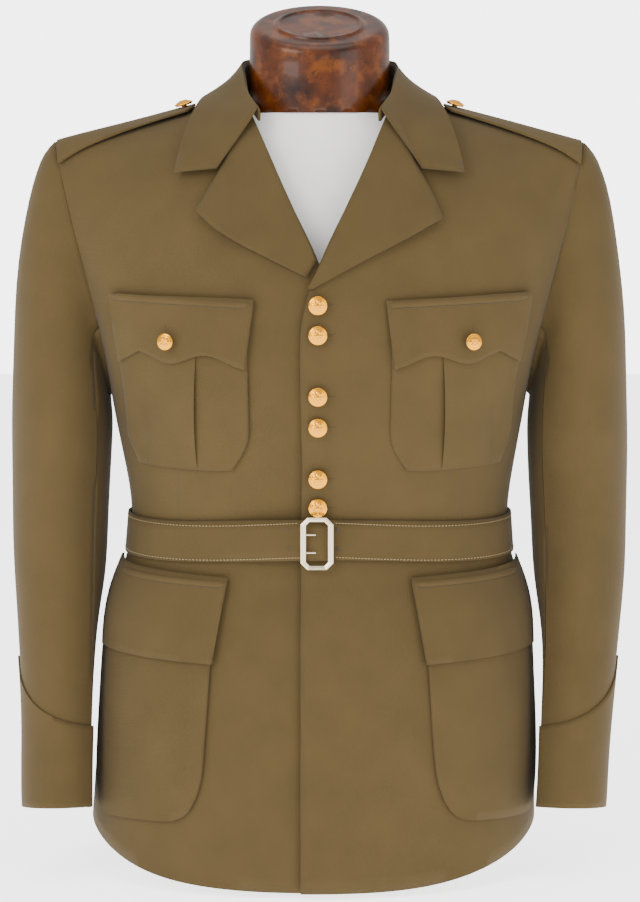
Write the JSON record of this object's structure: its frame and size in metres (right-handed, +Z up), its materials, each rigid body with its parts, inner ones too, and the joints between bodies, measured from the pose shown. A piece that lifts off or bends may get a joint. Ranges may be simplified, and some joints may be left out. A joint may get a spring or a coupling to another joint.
{
  "type": "dress tunic with belt on a limbless dress form",
  "caption": "Four-pocket service dress tunic, buttoned and belted at the waist, standing on a smooth limbless dress form with a turned neck block.",
  "frame": {"origin": "middle of the flat base that the form stands on", "axes": "+Z up the body, the chest faces -Y, and +X is towards the wearer's left"},
  "size_m": [0.617, 0.3082, 0.856],
  "materials": {
    "drab_cloth": "olive drab wool twill, matt",
    "gilt_brass": "bright gilt",
    "pale_nickel": "pale warm plated metal",
    "form_cover": "off-white linen cover",
    "burl_neck": "polished dark burl"
  },
  "bodies": {
    "root": {"back_left": "drab_cloth", "back_right": "drab_cloth", "belt": "drab_cloth", "buckle_frame": "pale_nickel", "buckle_tongue_lower": "pale_nickel", "buckle_tongue_upper": "pale_nickel", "chest_button_left": "gilt_brass", "chest_button_right": "gilt_brass", "chest_flap_left": "drab_cloth", "chest_flap_right": "drab_cloth", "chest_pocket_left": "drab_cloth", "chest_pocket_right": "drab_cloth", "collar": "drab_cloth", "cuff_left": "drab_cloth", "cuff_right": "drab_cloth", "form_neck": "burl_neck", "form_torso": "form_cover", "front_button_1": "gilt_brass", "front_button_2": "gilt_brass", "front_button_3": "gilt_brass", "front_button_4": "gilt_brass", "front_button_5": "gilt_brass", "front_button_6": "gilt_brass", "front_left": "drab_cloth", "front_right": "drab_cloth", "hip_flap_left": "drab_cloth", "hip_flap_right": "drab_cloth", "hip_pocket_left": "drab_cloth", "hip_pocket_right": "drab_cloth", "lapel_left": "drab_cloth", "lapel_right": "drab_cloth", "shoulder_button_left": "gilt_brass", "shoulder_button_right": "gilt_brass", "shoulder_strap_left": "drab_cloth", "shoulder_strap_right": "drab_cloth", "top_sleeve_left": "drab_cloth", "top_sleeve_right": "drab_cloth", "under_sleeve_left": "drab_cloth", "under_sleeve_right": "drab_cloth"}
  },
  "joints": []
}
